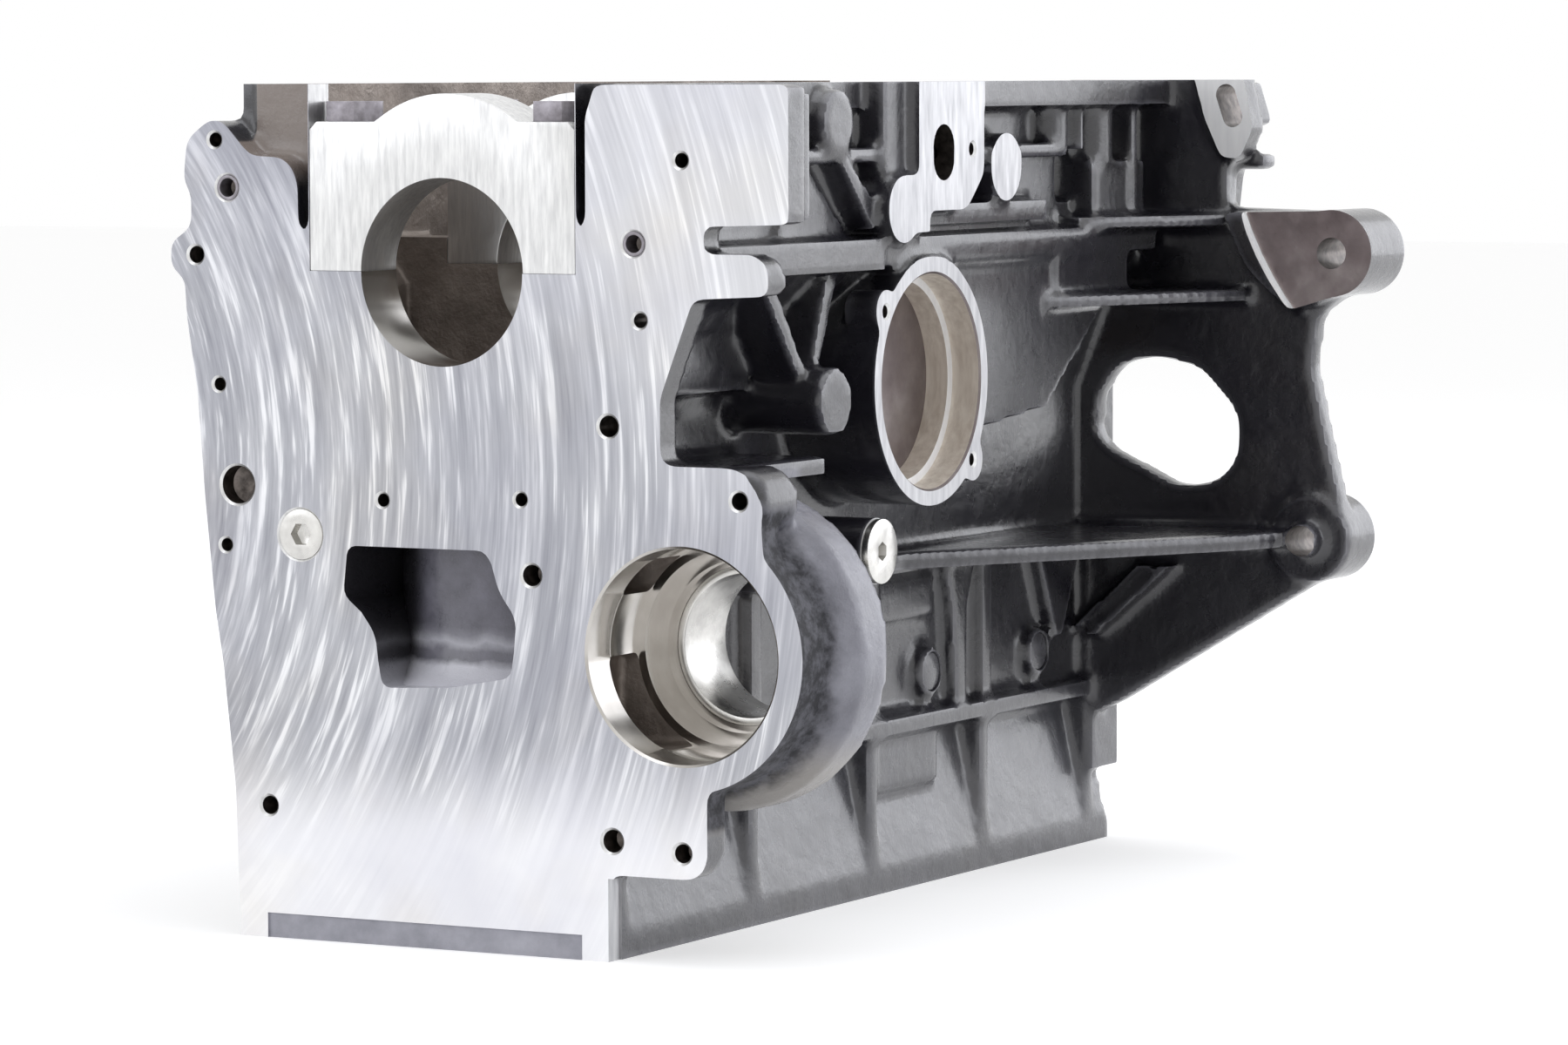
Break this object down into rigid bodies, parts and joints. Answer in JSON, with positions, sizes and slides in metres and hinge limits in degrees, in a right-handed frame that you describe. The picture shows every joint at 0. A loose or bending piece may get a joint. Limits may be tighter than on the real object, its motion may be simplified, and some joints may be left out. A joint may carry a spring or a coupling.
{
  "type": "engine block",
  "caption": "Inline engine block standing on its head deck, with main bearing caps, milled timing face, side port and bell-housing flange.",
  "frame": {"origin": "centre of the crankshaft bore at the front (timing) face", "axes": "+X towards the accessory side, +Y along the crankshaft towards the flywheel, +Z towards the oil pan; the head deck is the lowest face"},
  "size_m": [0.3814, 0.43, 0.3235],
  "materials": {
    "cast_painted": "black gloss paint over rough casting",
    "steel_bolt": "dark oiled steel",
    "cap_iron": "milled bare metal",
    "bush_metal": "bored bright",
    "plug_steel": "satin plated"
  },
  "bodies": {
    "root": {"engine_block": "cast_painted", "main_bearing_cap_1": "cap_iron", "main_bearing_cap_2": "cap_iron", "main_bearing_cap_3": "cap_iron", "main_bearing_cap_4": "cap_iron", "main_bearing_cap_5": "cap_iron", "main_bearing_bolts": "steel_bolt", "core_plugs": "cast_painted", "side_gallery_plug": "plug_steel", "front_gallery_plug": "plug_steel", "accessory_shaft_bush": "bush_metal", "timing_cover_dowels": "plug_steel"}
  },
  "joints": []
}
